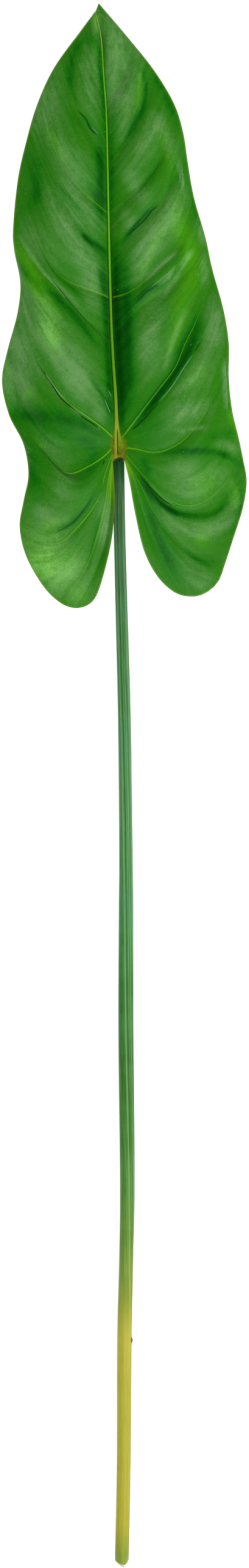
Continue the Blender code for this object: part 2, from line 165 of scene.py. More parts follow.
# Points on the way from the midrib, then how far the vein arches, and how far it stands out
VEINS = {
    LEFT: (
        (((-3.8, -10.0), (-4.1, -20.0), (-5.6, -32.0), (-9.2, -46.5), (-14.5, -59.5), (-19.8, -67.7)),
         1.0, 0.25),
        (((-5.2, -10.0), (-6.0, -17.0), (-8.2, -27.0), (-11.8, -40.0), (-16.8, -52.0), (-26.6, -65.6)),
         2.0, 0.25),
        (((-6.8, -7.5), (-8.4, -15.0), (-12.5, -22.5), (-19.5, -31.0), (-27.0, -37.5), (-35.0, -37.5),
          (-45.6, -32.5)), 3.2, 0.3),
        (((-7.5, 1.6), (-13.5, -2.4), (-22.0, -6.0), (-29.0, -3.2), (-34.5, 4.2), (-40.0, 10.5),
          (-49.4, 18.0)), 4.2, 0.35),
        (((-7.8, 15.0), (-15.5, 20.5), (-24.0, 26.6), (-30.0, 34.0), (-35.6, 42.0), (-41.5, 54.0),
          (-46.6, 69.5)), 4.6, 0.4),
        (((-11.0, 60.2), (-16.5, 65.5), (-23.0, 72.5), (-31.5, 82.5), (-38.0, 91.5), (-48.8, 109.0)),
         6.2, 0.1),
        (((-11.5, 78.0), (-18.5, 80.2), (-25.2, 83.0), (-31.8, 89.5), (-36.6, 98.5), (-39.5, 108.0),
          (-46.4, 131.5)), 6.0, 0.25),
        (((-8.5, 96.0), (-14.2, 102.6), (-20.0, 110.0), (-25.6, 118.2), (-31.0, 128.0), (-41.2, 153.0)),
         5.4, 0.15),
        (((-11.5, 119.0), (-18.0, 125.0), (-23.6, 131.5), (-28.2, 139.5), (-32.2, 149.5), (-37.2, 166.0)),
         4.6, 0.15),
        (((-10.5, 145.0), (-16.0, 153.5), (-21.5, 162.5), (-28.8, 183.0)), 3.4, 0.15),
        (((-10.8, 173.5), (-15.0, 182.5), (-19.2, 196.5)), 1.8, 0.1),
    ),
    RIGHT: (
        (((5.2, -4.5), (8.0, -13.0), (11.2, -24.0), (15.8, -37.0), (21.0, -48.5), (28.6, -61.6)), 1.4, 0.25),
        (((5.0, -3.0), (9.6, -11.5), (14.2, -20.5), (20.2, -30.0), (27.6, -38.5), (36.0, -43.2),
          (50.4, -42.8)), 2.8, 0.25),
        (((6.6, -2.2), (13.6, -10.2), (20.0, -16.2), (27.0, -20.0), (33.5, -20.6), (41.5, -17.2),
          (49.2, -9.6), (57.0, 1.8)), 3.8, 0.35),
        (((7.4, 5.2), (15.0, 3.6), (22.0, 4.8), (29.5, 9.2), (36.0, 16.8), (41.0, 24.6), (50.2, 44.0)),
         4.6, 0.35),
        (((5.2, 15.6), (11.6, 24.0), (18.6, 33.0), (25.6, 42.4), (30.2, 53.5), (35.2, 64.0), (43.6, 86.0)),
         6.0, 0.4),
        (((2.6, 62.0), (10.2, 69.8), (18.6, 75.8), (26.4, 82.6), (33.4, 89.6), (40.4, 100.5)), 6.4, 0.1),
        (((3.2, 76.6), (8.6, 79.8), (13.4, 83.8), (19.0, 89.4), (25.4, 95.2), (30.2, 101.8), (34.6, 121.0)),
         6.2, 0.25),
        (((3.0, 100.4), (11.0, 109.8), (18.2, 117.6), (23.2, 125.0), (26.8, 132.6), (30.6, 144.5)),
         5.4, 0.15),
        (((2.4, 119.6), (8.0, 124.2), (13.2, 129.4), (17.4, 135.2), (20.8, 142.2), (26.8, 160.5)), 4.6, 0.15),
        (((0.2, 142.8), (5.2, 150.2), (9.8, 159.4), (16.6, 179.2)), 3.2, 0.15),
        (((-1.2, 171.4), (2.8, 179.0), (6.6, 192.0)), 1.6, 0.1),
    ),
}
# How lime each vein is at the midrib, and the share of its length at which the lime has run out
VEIN_LIME = {
    LEFT: ((0.5, 0.5), (0.5, 0.8), (0.9, 0.85), (1.0, 0.8), (1.0, 0.5), (0, 1), (0.5, 0.45), (0, 1),
           (0.4, 0.5), (0, 1), (0, 1)),
    RIGHT: ((0.35, 0.6), (0.5, 0.6), (0.9, 0.9), (1.0, 0.85), (1.0, 0.95), (0, 1), (0.5, 0.6), (0, 1),
            (0.2, 0.4), (0, 1), (0, 1)),
}


def side_vein(side, foot_y, points, arch, margin):
    """Points along a side vein from the midrib to the margin, and the share of the margin where it ends."""
    foot = midrib_edge(side, foot_y)
    end_share = share_near(margin, points[-1])
    end = at(margin, end_share)
    along = np.linspace(0, 1, COLUMNS + 1)
    plan = at(smooth_path([foot[:2], *points[:-1], end[:2]]), along)
    height = foot[2] + (end[2] - foot[2]) * along + arch * np.sin(math.pi * along ** CROWN_SKEW[side])
    return np.column_stack([plan, height]), end_share


def bell(gap, width):
    """A soft bump over a line: 1 where the gap to it is nothing, and hardly anything at twice the width."""
    return np.exp(-((gap / width) ** 2))


def rows_of_half(side):
    """The veins of one half from the notch to the tip: points, share of the margin, ridge and lime."""
    margin = margins[side]
    along = np.linspace(0, 1, COLUMNS + 1)
    lobe = share_near(margin, LOBE_TIP[side])
    rows = [(at(margin, along * lobe), lobe, 0, (0, 1))]
    for foot_y, (points, arch, ridge), lime in zip(VEIN_FEET[1:], VEINS[side], VEIN_LIME[side]):
        rows.append((*side_vein(side, foot_y, points, arch, margin), ridge, lime))
    top = midrib_edge(side, VEIN_FEET[-1])
    rows.append((top + (margin[-1] - top) * along[:, None], 1, 0, (0, 1)))
    return margin, rows


def panel(side, margin, lower, upper, feet, count):
    """Rows of points that fill the space between two veins, and what the finish needs to know of each."""
    (a, a_end, a_ridge, a_lime), (b, b_end, b_ridge, b_lime) = lower, upper
    t = np.linspace(0, 1, COLUMNS + 1)
    even = np.linspace(0, 1, count + 1)
    u = (even - ROW_CROWDING * np.sin(2 * math.pi * even) / (2 * math.pi))[:, None] + 0 * t
    space = np.linalg.norm(b[:, :2] - a[:, :2], axis=1)
    foot = midrib_edge(side, feet[0] + (feet[1] - feet[0]) * u)
    rim = at(margin, a_end + (b_end - a_end) * u)
    u3, t3 = u[..., None], t[None, :, None]
    corners = (1 - u3) * ((1 - t3) * a[0] + t3 * a[-1]) + u3 * ((1 - t3) * b[0] + t3 * b[-1])
    points = (1 - u3) * a + u3 * b + (1 - t3) * foot + t3 * rim - corners
    pillow = np.minimum(PILLOW_SHARE * space, PILLOW_MOST) * np.sin(math.pi * t) ** PILLOW_SPREAD
    points[..., 2] += pillow * np.sin(math.pi * u**PILLOW_SKEW)
    fade = (1 - t**2) * np.minimum(t / VEIN_START, 1)
    keel = np.zeros(u.shape)
    for gap, ridge in ((u * space, a_ridge), ((1 - u) * space, b_ridge)):
        points[..., 2] += ridge * fade * bell(gap, VEIN_WIDTH)
        keel += (VEIN_KEEL if ridge else 0) * fade * bell(gap, KEEL_WIDTH)
    nearer_a = u < 0.5
    vein_gap = np.where(nearer_a, u, 1 - u) * space
    limes = [lime * np.clip((end - t) / LIME_FADE, 0, 1) for lime, end in (a_lime, b_lime)]
    return {
        "points": points,
        "keel": keel,
        "vein_gap": vein_gap,
        "vein_lime": np.where(nearer_a, limes[0], limes[1]),
        "along": np.broadcast_to(t, u.shape),
        "across": u,
    }


def half_blade(side):
    """One half of the blade: rows from the notch to the tip, columns from the midrib to the margin."""
    margin, rows = rows_of_half(side)
    parts = []
    for i, count in enumerate(PANEL_ROWS):
        made = panel(side, margin, rows[i], rows[i + 1], VEIN_FEET[i : i + 2], count)
        made["across"] = made["across"] + i
        parts.append({name: values[0 if i == 0 else 1 :] for name, values in made.items()})
    half = {name: np.concatenate([part[name] for part in parts]) for name in parts[0]}
    half["rib"] = np.zeros(half["across"].shape)
    half["side"] = np.full(half["across"].shape, float(side))
    return half


# The midrib itself. Near the joint it is two ridges with a groove between them, the collar, and further on
# it is one rounded cord that stands out of the blade a little above and strongly below.
RIB_SHARES = tuple((1 - math.cos(math.pi * i / 10)) / 2 for i in range(1, 10))
COLLAR_END = 14.0
RIDGE_HEIGHT, GROOVE_DEPTH, GROOVE_WIDTH = 0.45, 0.35, 0.10
GROOVE_PLACE = 0.45


def midrib_strip(left, right):
    """The columns of points across the midrib, between the two halves of the blade."""
    columns = []
    for share in RIB_SHARES:
        middle = left["points"][:, 0] * (1 - share) + right["points"][:, 0] * share
        _, _, width, keel = midrib_at(middle[:, 1])
        round_share = math.sin(math.pi * share)
        collar = np.clip((COLLAR_END - middle[:, 1]) / COLLAR_END, 0, 1)
        groove = bell(share - GROOVE_PLACE, GROOVE_WIDTH)
        twin = RIDGE_HEIGHT * math.sqrt(round_share) - (RIDGE_HEIGHT + GROOVE_DEPTH) * groove
        single = RIDGE_HEIGHT * round_share * np.minimum(width, 1)
        middle[:, 2] += collar * twin + (1 - collar) * single
        columns.append({
            "points": middle,
            "keel": keel * round_share,
            "vein_gap": np.full(len(middle), 9.0),
            "vein_lime": np.zeros(len(middle)),
            "along": np.zeros(len(middle)),
            "across": left["across"][:, 0],
            "rib": np.full(len(middle), round_share),
            "side": np.full(len(middle), 2 * share - 1),
        })
    return {name: np.stack([column[name] for column in columns], axis=1) for name in columns[0]}


# The leaf's sheet. Row by row it is the two halves with the midrib between them, about half a millimetre
# thick and thinner at the margin, with the keels of the veins standing out of its underside.
THICKNESS, MARGIN_SHARE = 0.5, 0.55
MARGIN_TAPER = 1.6  # how far from the margin the sheet gets thinner
EASE_ROUNDS, EASE_REACH, LEAST_FACING = 60, 2, 0.25  # how an overturned spot of the sheet is drawn out
# The lip: the low step at the joint, where the blade's skin ends over the stalk
LIP = ((-3.3, -0.5), (-2.4, 0.1), (-1.2, 0.75), (0.1, 1.15), (1.2, 0.9), (2.1, 0.2), (2.8, -0.5))
LIP_DEPTH, LIP_SLOPE = 0.5, 0.3  # how far the skin drops beyond the lip, and over what distance
LIP_REACH, LIP_FADE = 4.5, 0.12  # how far it reaches from its middle, and in what share each end fades
UNDER, RIM = 1, 2  # material slots; the upper skin is 0


def gap_to(path, points):
    """Plan distance from each point to the path, with a sign for its side of it, and the share along it."""
    starts, ends = path[:-1, :2], path[1:, :2]
    run = ends - starts
    best, sign, share = np.full(len(points), 1e9), np.ones(len(points)), np.zeros(len(points))
    lengths = np.concatenate([[0], np.cumsum(np.linalg.norm(run, axis=1))])
    for i, (start, step) in enumerate(zip(starts, run)):
        off = points[:, :2] - start
        along = np.clip(off @ step / (step @ step), 0, 1)
        gap = np.linalg.norm(off - along[:, None] * step, axis=1)
        near = gap < best
        best = np.where(near, gap, best)
        sign = np.where(near, np.sign(step[0] * off[:, 1] - step[1] * off[:, 0]), sign)
        share = np.where(near, (lengths[i] + along * (lengths[i + 1] - lengths[i])) / lengths[-1], share)
    return best, sign, share


def faded_ends(share, fade):
    """1 along a line, going down to 0 in the given share of it at each end."""
    return np.clip(np.minimum(share, 1 - share) / fade, 0, 1)


def eased(grid):
    """The grid with each spot where the sheet would double back on itself drawn out by its neighbours."""
    grid = grid.copy()
    for _ in range(EASE_ROUNDS):
        normal = np.cross(np.gradient(grid, axis=1), np.gradient(grid, axis=0))
        turned = normal[..., 2] < LEAST_FACING * np.linalg.norm(normal, axis=-1)
        near = np.zeros_like(turned)
        for row, column in zip(*np.nonzero(turned[:-1])):
            rows_by = slice(max(row - EASE_REACH, 1), row + EASE_REACH + 1)
            columns_by = slice(max(column - EASE_REACH, 1), column + EASE_REACH + 1)
            near[rows_by, columns_by] = True
        near[-1], near[:, -1] = False, False
        mean = (np.roll(grid, 1, 0) + np.roll(grid, -1, 0) + np.roll(grid, 1, 1) + np.roll(grid, -1, 1)) / 4
        grid = np.where(near[..., None], mean, grid)
    return grid


def grid_piece(name, grid):
    """A grid shaped to the given rows and columns of points, and each of its points' row and column."""
    rows, columns, _ = grid.shape
    bpy.ops.mesh.primitive_grid_add(x_subdivisions=columns - 1, y_subdivisions=rows - 1, size=2)
    piece = bpy.context.object
    piece.name = name
    start = np.array([v.co for v in piece.data.vertices])
    column = np.rint((start[:, 0] + 1) / 2 * (columns - 1)).astype(int)
    row = np.rint((start[:, 1] + 1) / 2 * (rows - 1)).astype(int)
    points = (grid[row, column] + joint) * MM
    piece.data.vertices.foreach_set("co", points.astype(np.float32).ravel())
    return piece, row, column


def store(piece, fields):
    """Keeps each field of numbers with the piece's points, where its finish reads it."""
    for name, values in fields.items():
        made = piece.data.attributes.new(name, "FLOAT", "POINT")
        made.data.foreach_set("value", np.asarray(values, np.float32))


def apply_modifiers(piece):
    """Applies every modifier of the piece."""
    bpy.ops.object.select_all(action="DESELECT")
    piece.select_set(True)
    bpy.context.view_layer.objects.active = piece
    for modifier in list(piece.modifiers):
        bpy.ops.object.modifier_apply(modifier=modifier.name)


left, right = half_blade(LEFT), half_blade(RIGHT)
strip = midrib_strip(left, right)
leaf = {name: np.concatenate([left[name][:, ::-1], strip[name], right[name]], axis=1) for name in left}
shape = leaf["across"].shape
upper = eased(leaf.pop("points")).reshape(-1, 3)
edge = np.vstack([margins[LEFT], margins[RIGHT][::-1]])
margin_gap = gap_to(edge, upper)[0]
taper = MARGIN_SHARE + (1 - MARGIN_SHARE) * np.clip(margin_gap / MARGIN_TAPER, 0, 1) ** 0.5
depth = THICKNESS * taper + leaf.pop("keel").ravel()
lip_gap, lip_side, lip_share = gap_to(smooth_path(LIP), upper)
lip_gap = lip_gap * lip_side
near_joint = np.linalg.norm(upper[:, :2] - np.array(LIP[3]), axis=1) < LIP_REACH
lip_fade = faded_ends(lip_share, LIP_FADE)
upper[:, 2] -= np.where(near_joint, LIP_DEPTH * lip_fade * np.clip(-lip_gap / LIP_SLOPE, 0, 1), 0)
upper[:, 2] = np.maximum(upper[:, 2] - depth, 0) + depth
blade, row, column = grid_piece("leaf_blade", upper.reshape(*shape, 3))
point = np.ravel_multi_index((row, column), shape)
plan = upper[point]
finish = {name: values.ravel()[point] for name, values in leaf.items()}
finish["margin_gap"] = margin_gap[point]
finish["lip_gap"] = np.where(near_joint, lip_gap, 3.0)[point]
# How strong the painted shadow beyond the lip is, faded at its ends.
finish["lip_shadow"] = lip_fade[point]
finish["from_joint"] = plan[:, 1]

deepest = depth.max()
group = blade.vertex_groups.new(name="depth")
for index, share in enumerate(depth[point] / deepest):
    group.add([index], share, "REPLACE")
sheet = blade.modifiers.new("sheet", "SOLIDIFY")
sheet.thickness = deepest * MM
sheet.offset = -1
sheet.vertex_group = "depth"
sheet.thickness_vertex_group = 0
sheet.use_even_offset = False
sheet.material_offset = UNDER
sheet.material_offset_rim = RIM


# The finish of the upper skin. It is deep green with a painted grey sheen on the swellings that stands for
# the light's reflection, painted shade in the valleys beside the veins, younger yellow-green patches, and a
# few sharp folds drawn with painted shade lines.

# Each is a soft stroke: half-width in mm, how strong it is, then the points that it passes through.
# Painted sheen: where a grey-green stands for the light's reflection on the swellings.
SHEEN_STROKES = (
    (6.5, 0.75, (-5, 206), (-1, 190), (0, 172), (1, 154)), (4.0, 0.35, (7, 190), (8, 174)),
    (4.5, 0.5, (-14, 188), (-14, 176), (-12, 163)), (7.0, 0.6, (-31, 176), (-34, 162), (-32, 150)),
    (6.0, 0.55, (-27, 146), (-21, 132), (-14, 123)), (4.0, 0.65, (-24, 126), (-16, 116), (-8, 108)),
    (5.5, 0.85, (-31, 122), (-24, 108), (-18, 98), (-13, 88), (-12, 72)),
    (5.0, 0.45, (-42, 108), (-36, 98), (-30, 92)),
    (0.9, 0.6, (-46, 103), (-36, 88), (-28, 80), (-18, 70)), (4.0, 0.6, (-44, 77), (-43, 65)),
    (8.0, 0.9, (-46, 62), (-46, 46), (-47, 30)), (6.0, 0.5, (-40, -20), (-27, -34)),
    (2.0, 0.5, (-11, 206), (-10, 196)), (7.0, 0.95, (-37, 70), (-31, 57), (-22, 42), (-12, 25)),
    (3.0, 0.5, (-10, 24), (-8, 19)), (3.0, 0.5, (16, 158), (22, 150), (25, 140)),
    (4.5, 0.65, (17, 156), (13, 148), (8, 140)), (4.0, 0.55, (3, 134), (8, 126), (12, 119)),
    (3.0, 0.5, (2, 114), (7, 106)), (5.5, 0.9, (8, 86), (13, 99), (22, 111), (27, 121)),
    (0.9, 0.7, (27, 138), (30, 122)), (1.8, 0.6, (36, 110), (40, 99)),
    (0.9, 0.9, (13, 83), (20, 90), (26, 95)), (0.8, 0.9, (17, 80), (22, 83), (25, 88)),
    (1.2, 0.7, (20, 75), (28, 86)), (1.2, 0.8, (28, 88), (33, 96)), (2.2, 0.6, (39, 82), (39, 94)),
    (5.5, 0.65, (12, 42), (14, 57), (19, 71)), (1.4, 0.5, (21, 42), (25, 56), (30, 68)),
    (4.5, 0.75, (42, 51), (44, 62), (44, 72)), (6.0, 0.35, (32, 34), (42, 46)),
    (4.5, 0.85, (24, 19), (30, 22), (38, 24)), (0.7, 0.8, (25, 14), (30, 13)),
    (0.7, 0.8, (32, 14), (40, 15)), (1.0, 0.8, (48, 46), (49, 25)), (2.0, 0.7, (46, 8), (54, 5)),
    (6.5, 0.7, (27, -4), (32, -10), (39, -12)), (5.0, 0.4, (42, -5), (49, -8)),
    (3.6, 0.6, (20, -20), (26, -29), (40, -32), (50, -26), (54, -17)), (5.0, 0.4, (29, -45), (36, -54)),
    (3.0, 0.6, (36, -56), (42, -55)), (5.5, 0.5, (-34, 12), (-27, 4)),
    (5.5, 0.45, (-26, -6), (-27, -24)), (10.0, 0.9, (-38, -38), (-30, -48), (-20, -58)),
    (2.8, 0.85, (-6, -18), (-7, -38)), (1.0, 0.7, (-41, -4), (-42, 6)),
    (0.6, 0.8, (33, 4.1), (39, 5.3)), (1.6, 0.5, (25, 30), (34, 38), (40, 50)),
)
# Painted shade: the saturated and darker green where the skin turns away from the light and gets no
# reflection.
SHADE_STROKES = (
    (1.6, 0.8, (-9.8, 194), (-8.8, 180), (-7.4, 165), (-6.6, 150)),
    (3.2, 0.95, (-8.8, 150), (-8.6, 130), (-7.4, 110)),
    (2.4, 0.95, (-7.2, 96), (-6.2, 72), (-5.2, 46), (-3.6, 14)),
    (2.6, 0.7, (-12, 194), (-18, 193), (-22, 183), (-22.5, 168)),
    (1.3, 0.7, (-19, 161), (-13, 153), (-10, 149)), (2.5, 0.35, (-25, 156), (-17, 154)),
    (5.0, 0.7, (-42, 144), (-38, 134), (-38, 122), (-43, 114)),
    (1.4, 0.6, (-30, 128), (-21, 118), (-14, 110)), (2.0, 0.6, (-13, 126), (-7, 112)),
    (2.4, 1.0, (-19, 106), (-14, 101), (-8, 97), (-5, 94)), (1.6, 0.7, (-9, 88), (-7, 76)),
    (1.2, 0.6, (-27, 85), (-16, 72)), (2.2, 0.6, (-50, 96), (-45, 88), (-40, 82)),
    (2.6, 0.85, (-36, 81), (-27, 73), (-18, 63), (-8, 50)), (1.2, 0.8, (-13, 38), (-7, 28), (-4, 22)),
    (5.5, 0.8, (-54, 25), (-42, 21), (-28, 19), (-14, 12)), (9.0, 0.35, (-40, 10), (-24, 8), (-10, 6)),
    (5.0, 0.7, (-46, 8), (-41, 0), (-38, -18)), (4.5, 0.5, (-18, 12), (-12, 3), (-17, -12)),
    (2.0, 0.4, (-20, 20), (-12, 14), (-6, 9)),
    (1.6, 0.8, (-33, -33), (-22, -29), (-14, -20), (-10, -14)),
    (1.0, 0.5, (-9, -26), (-12, -38), (-14, -50)),
    (1.6, 0.8, (10, 181), (12.5, 172), (11, 163), (7, 156), (1, 143)), (1.3, 0.6, (13, 163), (5, 149)),
    (2.8, 0.7, (14, 180), (20, 171), (24, 162), (28, 154)),
    (1.2, 0.6, (-3.6, 152), (-3.6, 140), (-3.4, 112)),
    (1.6, 1.0, (1, 99), (6, 106), (12, 113), (17, 118)), (1.1, 0.6, (8, 122), (16, 133), (19, 139)),
    (1.0, 0.5, (22, 122), (26, 136)), (1.4, 0.6, (32, 140), (33, 126), (36, 108)),
    (2.0, 1.0, (7, 71), (12, 77), (20, 82)), (2.6, 1.25, (-2.0, 100), (-1.0, 70), (0.9, 40), (1.4, 12)),
    (2.4, 0.4, (-2.6, 165), (-2.2, 140), (-1.6, 112)),
    (4.2, 1.0, (2.2, 92), (3.4, 66), (4.0, 42), (4.6, 24)), (2.4, 0.7, (24, 44), (33, 60), (38, 72)),
    (3.0, 1.1, (7.4, 15.6), (16.4, 27.6), (25.4, 39.6), (31.8, 50), (36.6, 62)),
    (6.5, 0.5, (7, 9), (14, 12), (19, 20)), (2.6, 0.95, (20, 3), (36, 4), (48, 3), (57, -2)),
    (2.0, 0.7, (40, 10), (48, 12), (54, 14)), (2.0, 1.1, (8, -6), (17, -18), (26, -24), (34, -25.4)),
    (2.0, 0.7, (32, -25), (40, -25.6), (46, -22.6), (51, -15)), (3.0, 0.8, (8, 0), (12, -2), (14, -8)),
    (1.5, 0.7, (53, -6), (57, -18), (52, -32)), (1.8, 0.7, (30, -41), (38, -46.5), (45, -46)),
    (4.0, 0.8, (12, -16), (16, -30), (22, -44), (27, -54)),
)
YOUNG = (
    (9.0, 0.95, (-39, -40), (-31, -54)), (2.2, 0.9, (-11.4, 207), (-10, 198)),
    (6.0, 0.5, (-24, -62), (-14, -62)), (5.0, 0.5, (-26, -29), (-35, -33)),
    (9.0, 0.5, (-28, -40), (-18, -54)), (5.0, 0.75, (-35, 66), (-28, 51)),
    (3.0, 0.6, (-44, 32), (-40, 29)), (5.0, 0.95, (-49, 100), (-43, 88), (-36, 78), (-30, 68)),
    (2.2, 0.6, (-39, 11), (-34, 5)), (6.0, 0.5, (44, -6), (34, -15)), (5.0, 0.6, (40, -33), (36, -40)),
    (3.5, 0.8, (54, -9), (54, -20)), (2.5, 0.7, (43, 5), (52, 1)), (2.5, 0.8, (55, 12), (51, 24)),
    (2.0, 0.55, (8, 160), (10, 182)), (3.0, 0.45, (24, 130), (22, 144), (19, 154)),
    (3.0, 0.45, (-33, 153), (-28, 144), (-25, 138)),
    (5.5, 0.75, (26, 68), (33, 84), (33, 96), (28, 108), (26, 120)),
    (4.0, 0.5, (22, 46), (27, 62), (29, 72)), (6.0, 0.35, (-14, 6), (-24, 14)),
    (4.0, 0.4, (30, 32), (40, 44)), (3.0, 0.45, (21, 108), (13, 93)), (2.0, 0.5, (8, 86), (15, 92)),
    (2.0, 0.5, (33, 128), (36, 116)),
)
PALE_RIDGE = ((0.55, 1.0, (-1.45, 17), (-1.4, 9), (-1.55, 1.2)),)
# The creases, drawn with painted shade lines: how dark each is, then its points
FOLDS = (
    (1.0, (4.6, 13.2), (9.4, 16.9), (15, 23), (17.6, 25.4)), (0.8, (34.4, 49.6), (37.4, 54.6)),
    (1.0, (-6.0, 11.6), (-11, 16), (-18.4, 20.8), (-22, 24.2), (-27, 28.6), (-31.4, 35.6),
     (-35.4, 41.4), (-38, 45)),
    (0.9, (3.2, 103), (8.7, 107.6), (12.3, 111.3), (15.2, 115), (18.6, 117.4)),
    (0.9, (-19.4, 161), (-15.4, 157), (-13.6, 152.8), (-10, 149.4)),
    (0.6, (-31, 82.8), (-24, 74), (-17, 66), (-11, 60), (-4.6, 54)),
    (0.5, (-11, -14), (-15, -21), (-22, -29), (-32, -34.5)),
    (0.9, (8.6, -6.4), (13.4, -11.4), (19.4, -17.4), (25, -21)),
    (0.5, (7.4, 72.6), (12, 76.6), (18, 80.6)), (1.0, (-1.0, 15), (-0.86, 8), (-0.72, 1.4)),
    (0.8, (-6.9, 0.2), (-7.7, -2.4)),
)
# Painted highlight lines where a crest catches the light
GLINTS = (
    (0.8, (17.6, 25.8), (24.2, 33.6), (29.2, 41.6), (34, 48.6)),
    (0.8, (-24.4, 27.4), (-28.2, 31.4), (-30.8, 35.2), (-34.2, 40.2)),
    (0.8, (-22.8, 24.4), (-17.2, 19.6)), (0.6, (-4.9, 31.9), (-3.5, 29)),
    (0.7, (-6.7, 27.9), (-4.1, 21.6)), (0.5, (-10, 15.2), (-8.4, 13.4)),
    (0.5, (-36, 87), (-30, 80.6), (-24, 73.4)), (0.4, (-12.6, 153.2), (-9.6, 150)),
    (0.5, (14.4, 79), (20, 83.4), (25, 88)), (0.5, (29.6, 126), (28.6, 138)),
    (0.5, (48.4, 46), (49.4, 34), (49.6, 22)), (0.4, (13.4, -10.6), (20, -16.8), (25, -20)),
)
FOLD_REACH, FOLD_FADE = 1.2, 0.15  # how far a crease can be seen, and in what share each end fades
STROKE_END, STROKE_FADE = 0.45, 0.25  # how strong a stroke's ends are, and over what share of it they rise
STROKE_STEPS = 6  # points between two given ones


def stroked(strokes, points):
    """How strongly the strokes cover each point, from 0 to about 1."""
    bare = np.ones(len(points))
    for width, strength, *way in strokes:
        gap, _, share = gap_to(smooth_path(way, STROKE_STEPS), points)
        cover = bell(gap, width) * (STROKE_END + (1 - STROKE_END) * faded_ends(share, STROKE_FADE))
        bare *= 1 - min(strength, 1) * cover
        bare -= max(strength - 1, 0) * cover
    return 1 - bare


def nearest_fold(folds, points):
    """Signed distance to the nearest crease or glint line, and how strong its painted shade or painted
    highlight is there.
    """
    gap, dark = np.full(len(points), 9.0), np.zeros(len(points))
    for strength, *way in folds:
        distance, sign, share = gap_to(smooth_path(way, STROKE_STEPS), points)
        near = distance < np.abs(gap)
        gap = np.where(near, distance * sign, gap)
        dark = np.where(near, strength * faded_ends(share, FOLD_FADE) * (distance < FOLD_REACH), dark)
    return gap, dark


# The strokes of painted sheen and painted shade, and the young patches and pale ridge, kept as fields on the
# blade's points.
for name, strokes in (("painted_sheen", SHEEN_STROKES), ("painted_shade", SHADE_STROKES), ("young", YOUNG), ("pale_ridge", PALE_RIDGE)):
    finish[name] = stroked(strokes, plan)
finish["fold_gap"], finish["fold_shade"] = nearest_fold(FOLDS, plan)
finish["glint_gap"], finish["glint_light"] = nearest_fold(GLINTS, plan)
store(blade, finish)


def new_material(name):
    """An empty node material with a Principled shader, and that shader."""
    material = bpy.data.materials.new(name)
    material.use_nodes = True
    return material, material.node_tree.nodes["Principled BSDF"]


def node(tree, kind, values=None, **settings):
    """A new node with its settings, and its inputs set to values or linked to other nodes' outputs."""
    made = tree.nodes.new(kind)
    for name, value in settings.items():
        setattr(made, name, value)
    for key, value in (values or {}).items():
        if isinstance(value, bpy.types.NodeSocket):
            tree.links.new(value, made.inputs[key])
        else:
            made.inputs[key].default_value = value
    return made


def attribute(tree, name):
    """A field of numbers that was kept with the piece."""
    return node(tree, "ShaderNodeAttribute", attribute_name=name).outputs["Fac"]


def math_of(tree, operation, a, b=0.0):
    """The result of one sum."""
    return node(tree, "ShaderNodeMath", {0: a, 1: b}, operation=operation).outputs[0]


def times(tree, a, b):
    """One number times another."""
    return math_of(tree, "MULTIPLY", a, b)


def plus(tree, a, b):
    """One number and another together."""
    return math_of(tree, "ADD", a, b)


def ramp(tree, value, low, high, from_=0.0, to=1.0):
    """A soft step of the value, from one number at low to another at high."""
    values = {"Value": value, "From Min": low, "From Max": high, "To Min": from_, "To Max": to}
    return node(tree, "ShaderNodeMapRange", values, interpolation_type="SMOOTHSTEP").outputs[0]


def line_at(tree, gap, core, edge, strength=1.0):
    """A soft line where the gap is near nothing: full within the core, and gone at the edge."""
    return ramp(tree, math_of(tree, "ABSOLUTE", gap), core, edge, strength, 0)


def mix(tree, share, a, b, blend="MIX"):
    """One colour laid over another."""
    values = {0: share, 6: a, 7: b}
    return node(tree, "ShaderNodeMix", values, data_type="RGBA", blend_type=blend).outputs[2]


def layered(tree, base, *layers):
    """A colour with each layer laid over it in turn: how much of it covers, and its own colour."""
    for cover, tint in layers:
        base = mix(tree, cover, base, tint)
    return base


def shaded(tree, plain, shade):
    """A colour made lighter or darker by a number."""
    grey = node(tree, "ShaderNodeCombineColor", {0: shade, 1: shade, 2: shade}).outputs[0]
    return mix(tree, 1.0, plain, grey, "MULTIPLY")


def place_of(tree, x, y, z=0.0):
    """A place made from numbers, for a pattern that follows the veins or the stalk."""
    return node(tree, "ShaderNodeCombineXYZ", {0: x, 1: y, 2: z}).outputs[0]


def noise(tree, scale, detail=2.0, vector=None, roughness=0.5):
    """A soft random field, over the piece itself or over the given place."""
    values = {"Scale": scale, "Detail": detail, "Roughness": roughness}
    if vector is None:
        vector = node(tree, "ShaderNodeTexCoord").outputs["Object"]
    return node(tree, "ShaderNodeTexNoise", {"Vector": vector, **values}).outputs["Fac"]


def specks(tree, scale, size, share, vector=None):
    """Small round dots, one in the given share of a field of cells."""
    if vector is None:
        vector = node(tree, "ShaderNodeTexCoord").outputs["Object"]
    cells = node(tree, "ShaderNodeTexVoronoi", {"Vector": vector, "Scale": scale})
    draw = node(tree, "ShaderNodeSeparateColor", {0: cells.outputs["Color"]}).outputs[0]
    chosen = math_of(tree, "LESS_THAN", draw, share)
    dot = ramp(tree, cells.outputs["Distance"], size * 0.6, size, 1, 0)
    return times(tree, dot, chosen)


def relieved(tree, shader, height, strength, distance):
    """Gives a surface a fine relief, as high as the distance in mm."""
    bump = node(tree, "ShaderNodeBump", {"Height": height, "Strength": strength, "Distance": distance * MM})
    tree.links.new(bump.outputs[0], shader.inputs["Normal"])


def colour(red, green, blue):
    """A colour given as on a screen, 0 to 255, in linear light."""
    parts = (red, green, blue)
    return (*(((part / 255 + 0.055) / 1.055) ** 2.4 if part > 10 else part / 3300 for part in parts), 1)


SKIN = colour(38, 108, 6)
FRESH = colour(58, 132, 2)
SHEEN_GREEN, FRESH_SHEEN_GREEN = colour(86, 133, 70), colour(108, 168, 76)
SHADED_GREEN = colour(2, 100, 0)
# The near-black green of the painted shade in creases and beside the midrib.
CREASE_SHADE = colour(8, 40, 4)
LIME, RIGHT_LIME = colour(92, 168, 10), colour(66, 148, 6)
OLIVE, PALE_OLIVE = colour(86, 92, 6), colour(140, 156, 40)
BROWN = colour(96, 70, 30)

